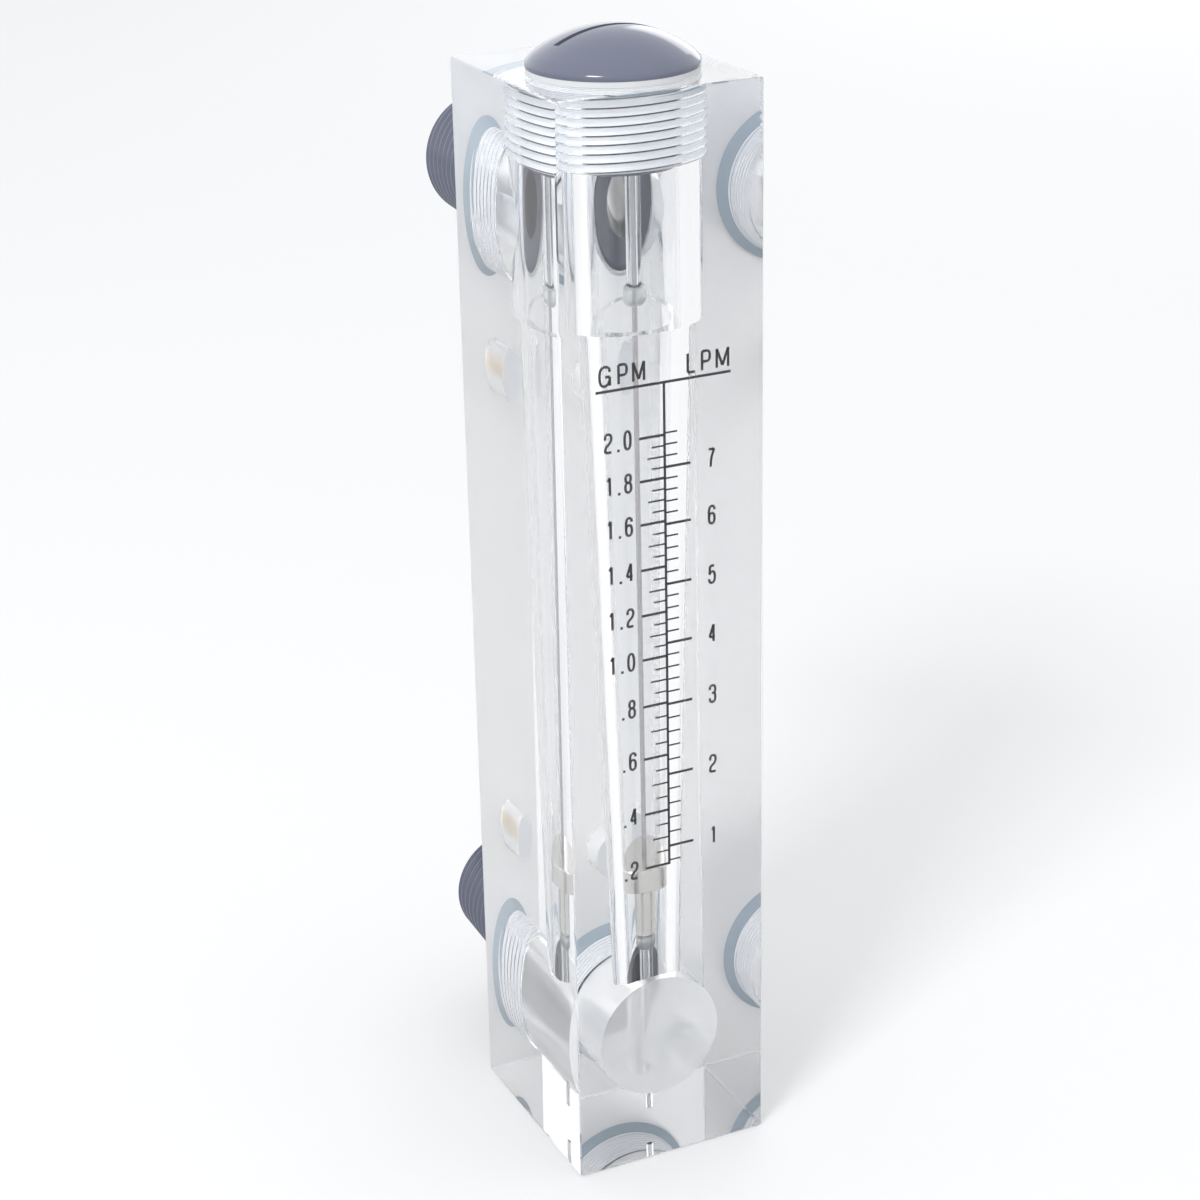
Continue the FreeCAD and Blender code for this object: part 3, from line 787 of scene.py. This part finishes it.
gasket_top = GASKET - SEAL_PLAY
gasket = turned("plug_ring", [
    (PLUG_NECK_R + SEAL_PLAY, -GASKET_DROP),
    (PLUG_SEAT_R - GASKET_GAP - GASKET_DROP, -GASKET_DROP),
    (PLUG_SEAT_R - GASKET_GAP, 0), (PLUG_HEAD_R - GASKET_INSET, SEAL_PLAY),
    (PLUG_HEAD_R - GASKET_INSET, gasket_top), (PLUG_NECK_R + SEAL_PLAY, gasket_top)],
    TUBE_AXIS + UP * TOP, UP, seal_rubber)
finish_piece(gasket, "meter", "seal_rubber", "top_plug_seal")
for port, height in (("inlet", INLET_HEIGHT), ("outlet", OUTLET_HEIGHT)):
    place = Vector((0, BACK, height))
    make_seal(port + "_ring", port + "_seal", PORT_SEAT_R, FITTING_NECK_R, place, REARWARD)

# %% Turn and knurl the two inserts
INSERT_SCREW_R, INSERT_LENGTH, INSERT_EDGE = 2.1, 6.0, 0.4
GROOVE_DEPTH, GROOVE_WIDTH = 0.35, 1.2
KNURL_STEPS = 112
KNURL_DEPTH = 0.22


def make_insert(name, node):
    """Knurled brass insert in the back face at its node's height."""
    start = -(INSERT_LENGTH + GROOVE_WIDTH) / 2
    outer = [(INSERT_R - INSERT_EDGE, -INSERT_LENGTH), (INSERT_R, INSERT_EDGE - INSERT_LENGTH),
             (INSERT_R, start), (INSERT_R - GROOVE_DEPTH, start),
             (INSERT_R - GROOVE_DEPTH, start + GROOVE_WIDTH), (INSERT_R, start + GROOVE_WIDTH),
             (INSERT_R, 0)]
    bm = spin_profile([(INSERT_SCREW_R, 0), (INSERT_SCREW_R, -INSERT_LENGTH)] + outer, KNURL_STEPS)
    for vert in bm.verts:
        step = round(math.atan2(vert.co.y, vert.co.x) / (2 * math.pi) * KNURL_STEPS)
        if vert.co.xy.length > (INSERT_R - FACE_BAND) * MM and step % 2:
            vert.co.x *= 1 - KNURL_DEPTH / INSERT_R
            vert.co.y *= 1 - KNURL_DEPTH / INSERT_R
    place = Vector((0, BACK, middle_height(node)))
    bmesh.ops.transform(bm, matrix=aim(place, REARWARD), verts=bm.verts)
    return finish_piece(piece_from(name, bm, knurled_brass), "meter", "insert_brass", node)


make_insert("lower_brass", "lower_insert")
make_insert("upper_brass", "upper_insert")

# %% [markdown]
# ## The printed scale
#
# The scale is screen printed on the front face in black ink. Each mark is a thin closed strip
# that lies a few hundredths of a millimetre inside the face, so the print adds nothing to the
# block's size. The numbers are strokes of the same kind: each character is a short list of
# points, and cutting the corners of that list a few times turns it into a curve.

# %% Helpers that print a mark and a word
INK = 0.02                   # thickness of the print
PRINT_DEPTH = 0.03           # its outer side below the face
PRINT_Y = FRONT / MM + PRINT_DEPTH + INK / 2
BOLD, FINE = 0.4, 0.26       # widths of the strokes
CORNER_CUTS = 3              # times that the corners of a curve are cut
STROKES = {                  # each character as strokes in a box one wide and one high
    "0": [("loop", [(0, 0), (1, 0), (1, 1), (0, 1)])],
    "1": [("straight", [(0.3, 0.78), (0.62, 1), (0.62, 0)])],
    "2": [("curve", [(0, 0.7), (0, 1), (1, 1), (1, 0.55), (0, 0.3), (0, 0)]),
          ("straight", [(0, 0), (1, 0)])],
    "3": [("curve", [(0, 0.75), (0, 1), (1, 1), (1, 0.54), (0.4, 0.54)]),
          ("curve", [(0.4, 0.54), (1, 0.54), (1, 0), (0, 0), (0, 0.25)])],
    "4": [("straight", [(0.72, 0), (0.72, 1), (0, 0.27), (1, 0.27)])],
    "5": [("straight", [(0.9, 1), (0.15, 1), (0.05, 0.5)]),
          ("curve", [(0.05, 0.5), (0.3, 0.66), (1, 0.66), (1, 0), (0, 0), (0, 0.25)])],
    "6": [("loop", [(0, 0), (1, 0), (1, 0.6), (0, 0.6)]),
          ("curve", [(0.98, 0.78), (0.95, 1), (0, 1), (0, 0.3)])],
    "7": [("straight", [(0, 1), (1, 1)]), ("curve", [(1, 1), (0.45, 0.55), (0.35, 0)])],
    "8": [("loop", [(0, 0), (1, 0), (1, 0.55), (0, 0.55)]),
          ("loop", [(0.05, 0.55), (0.95, 0.55), (0.95, 1), (0.05, 1)])],
    ".": [("straight", [(0.5, -0.07), (0.5, 0.08)])],
    "G": [("curve", [(1, 0.72), (0.95, 1), (0, 1), (0, 0), (0.8, 0), (1, 0.3)]),
          ("straight", [(0.55, 0.47), (1, 0.47), (1, 0)])],
    "L": [("straight", [(0, 1), (0, 0), (1, 0)])],
    "M": [("straight", [(0, 0), (0, 1), (0.5, 0.1), (1, 1), (1, 0)])],
    "P": [("straight", [(0, 0), (0, 1), (0.4, 1)]), ("straight", [(0.4, 0.45), (0, 0.45)]),
          ("curve", [(0.4, 1), (1, 1), (1, 0.45), (0.4, 0.45)])]}
print_bm = bmesh.new()


def mark(x0, z0, x1, z1, width):
    """Prints a strip from one point of the front face to another, in millimetres."""
    run = Vector((x1 - x0, 0, z1 - z0))
    middle = Matrix.Translation(((x0 + x1) / 2, PRINT_Y, (z0 + z1) / 2))
    turn = Matrix.Rotation(-math.atan2(run.z, run.x), 4, "Y")
    size = Matrix.Diagonal((run.length, INK, width, 1))
    bmesh.ops.create_cube(print_bm, size=1.0, matrix=Matrix.Scale(MM, 4) @ middle @ turn @ size)


def rounded(points, closed):
    """Corner-cut copy of a run of points, which turns its corners into curves."""
    for _ in range(CORNER_CUTS):
        pairs = list(zip(points, points[1:] + points[:1] if closed else points[1:]))
        cut = [tuple(a[i] + (b[i] - a[i]) * share for i in (0, 1))
               for a, b in pairs for share in (0.25, 0.75)]
        points = cut if closed else [points[0]] + cut[1:-1] + [points[-1]]
    return points + points[:1] if closed else points


def word(letters, z, height):
    """Prints letters, each given with its left and right edge, with their feet at a height."""
    for letter, left, right in letters:
        for style, points in STROKES[letter]:
            if style != "straight":
                points = rounded(points, style == "loop")
            places = [(left + BOLD / 2 + x * (right - left - BOLD),
                       z + BOLD / 2 + y * (height - BOLD)) for x, y in points]
            for (x0, z0), (x1, z1) in zip(places, places[1:]):
                mark(x0, z0, x1, z1, BOLD)


# %% Print the two scales
GPM_STEP = 0.2
# heights of the numbered marks on the left, which get closer as the flow rises
GPM_HEIGHTS = (50.5, 59.4, 68.4, 76.8, 84.2, 91.1, 98.1, 105.0, 111.5, 117.9)
LITRES_PER_GALLON = 3.785
LINE_TOP = 125.6             # height of the line under the units
MAJOR, MIDDLE, MINOR = 3.95, 2.7, 2.0   # lengths of the marks
MAJOR_EXTRA = 0.1            # a whole litre's mark is this much longer
NUMBER_HEIGHT, LETTER_HEIGHT = 3.05, 3.15
NUMBER_FOOT = -1.4           # from a mark's height to the foot of its number
LETTER_FOOT = 0.6            # from that line to the foot of the units' letters
LINE_REACH = 10.5            # half the length of that line
# each letter or digit's left and right edge
UNIT_CELLS = (("G", -10.05, -8.1), ("P", -7.15, -5.5), ("M", -4.9, -2.85),
              ("L", 3.55, 5.05), ("P", 5.8, 7.4), ("M", 8.1, 10.3))
WHOLE_CELL, POINT_CELL, TENTH_CELL = (-9.4, -8.05), (-7.4, -6.95), (-6.4, -5.1)
LITRE_CELL = (6.75, 8.05)
GPM_PARTS, LPM_PARTS = 4, 5  # marks in a step of the left scale and in a litre of the right one
LPM_FIRST, LPM_LAST = 4, 38  # marks at the two ends of the right scale


def flow_height(gallons):
    """Height on the scale of a flow in gallons a minute."""
    place = gallons / GPM_STEP - 1
    step = min(int(place), len(GPM_HEIGHTS) - 2)
    return GPM_HEIGHTS[step] + (place - step) * (GPM_HEIGHTS[step + 1] - GPM_HEIGHTS[step])


mark(0, GPM_HEIGHTS[0] - BOLD / 2, 0, LINE_TOP, BOLD)
mark(-LINE_REACH, LINE_TOP, LINE_REACH, LINE_TOP, BOLD)
word(UNIT_CELLS, LINE_TOP + LETTER_FOOT, LETTER_HEIGHT)
for i in range(GPM_PARTS * (len(GPM_HEIGHTS) - 1) + 1):
    gallons = GPM_STEP * (1 + i / GPM_PARTS)
    height = flow_height(gallons)
    if i % GPM_PARTS:
        mark(-(MIDDLE if i % 2 == 0 else MINOR), height, 0, height, FINE)
        continue
    mark(-MAJOR, height, 0, height, BOLD)
    whole, point, tenth = f"{gallons:.1f}"
    cells = [(whole, *WHOLE_CELL), (point, *POINT_CELL), (tenth, *TENTH_CELL)]
    word(cells[1:] if whole == "0" else cells, height + NUMBER_FOOT, NUMBER_HEIGHT)
for i in range(LPM_FIRST, LPM_LAST + 1):
    height = flow_height(i / LPM_PARTS / LITRES_PER_GALLON)
    if i % LPM_PARTS:
        mark(0, height, MINOR, height, FINE)
        continue
    mark(0, height, MAJOR + MAJOR_EXTRA, height, BOLD)
    word([(str(i // LPM_PARTS), *LITRE_CELL)], height + NUMBER_FOOT, NUMBER_HEIGHT)

# %% Close the print's mesh and ride it on the block
bmesh.ops.recalc_face_normals(print_bm, faces=print_bm.faces)
open_edges = sum(1 for edge in print_bm.edges if not edge.is_manifold)
print(f"scale_print: {len(print_bm.faces)} faces, {open_edges} open edges")
scale_print = piece_from("scale_print", print_bm, black_ink)
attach(scale_print, "meter")

# %% [markdown]
# ## Floor, light and camera
#
# The meter stands on a pale seamless floor in soft light from all round, which is what clear
# plastic needs: it shows only what surrounds it. The sky is brightest at the horizon, because
# that is what the upright faces pass on. One small lamp gives the key, and a weaker one behind
# lights the back.

# %% Floor
FLOOR_GAP = 0.05             # keeps the floor and the base from sharing a plane
FLOOR_SIZE = 4.0             # metres from its middle to an edge
floor_material, tree, shader = new_material(
    "floor_paper", Base_Color=(0.5, 0.5, 0.5, 1), Roughness=0.9, Emission_Color=(1, 1, 1, 1),
    Emission_Strength=0.16)
bm = bmesh.new()
bmesh.ops.create_grid(bm, x_segments=1, y_segments=1, size=FLOOR_SIZE,
                      matrix=Matrix.Translation((0, 0, -FLOOR_GAP * MM)))
floor = piece_from("floor", bm, floor_material)

# %% Light
HORIZON = (1.2, 1.2, 1.2, 1)
ZENITH = (0.9, 0.91, 0.94, 1)
ZENITH_START = 0.7           # rise of the view at which the zenith's colour is reached
SKY_STRENGTH = 1.3
world = bpy.data.worlds.new("studio")
bpy.context.scene.world = world
world.use_nodes = True
sky = world.node_tree
coords = sky.nodes.new("ShaderNodeTexCoord")
split = sky.nodes.new("ShaderNodeSeparateXYZ")
sky.links.new(coords.outputs["Generated"], split.inputs[0])
ramp = sky.nodes.new("ShaderNodeValToRGB")
ramp.color_ramp.elements[0].color = HORIZON
ramp.color_ramp.elements[1].position = ZENITH_START
ramp.color_ramp.elements[1].color = ZENITH
sky.links.new(split.outputs["Z"], ramp.inputs["Fac"])
sky.links.new(ramp.outputs["Color"], sky.nodes["Background"].inputs["Color"])
sky.nodes["Background"].inputs["Strength"].default_value = SKY_STRENGTH


def area_light(name, place, target, size, power):
    """Soft square light that faces a target."""
    light = bpy.data.lights.new(name, "AREA")
    light.size = size
    light.energy = power
    holder = bpy.data.objects.new(name, light)
    bpy.context.scene.collection.objects.link(holder)
    holder.location = place
    holder.rotation_euler = (Vector(target) - Vector(place)).to_track_quat("-Z", "Y").to_euler()


area_light("key", place=(-0.7, -0.5, 0.9), target=(0, 0, 0.08), size=0.3, power=9)
area_light("rim", place=(0.8, 0.9, 0.44), target=(0, 0, 0.12), size=0.5, power=1.3)

# %% Camera
CAMERA_PLACE = Vector((-165.23, -347.56, 245.30)) * MM
CAMERA_VIEW = Vector((0.39240, 0.83705, -0.38128))
CAMERA_ROLL = math.radians(-1.22)
LENS = 83.62
camera_data = bpy.data.cameras.new("camera")
camera_data.lens = LENS
camera_data.sensor_width = 36.0
camera = bpy.data.objects.new("camera", camera_data)
bpy.context.scene.collection.objects.link(camera)
camera.matrix_world = (Matrix.Translation(CAMERA_PLACE)
                       @ CAMERA_VIEW.to_track_quat("-Z", "Y").to_matrix().to_4x4()
                       @ Matrix.Rotation(CAMERA_ROLL, 4, "Z"))
bpy.context.scene.camera = camera

# %% Light paths deep enough for clear plastic
cycles = bpy.context.scene.cycles
cycles.max_bounces = 32
cycles.diffuse_bounces = 12
cycles.glossy_bounces = 24
cycles.transmission_bounces = 28
bpy.context.scene.view_settings.view_transform = "Standard"
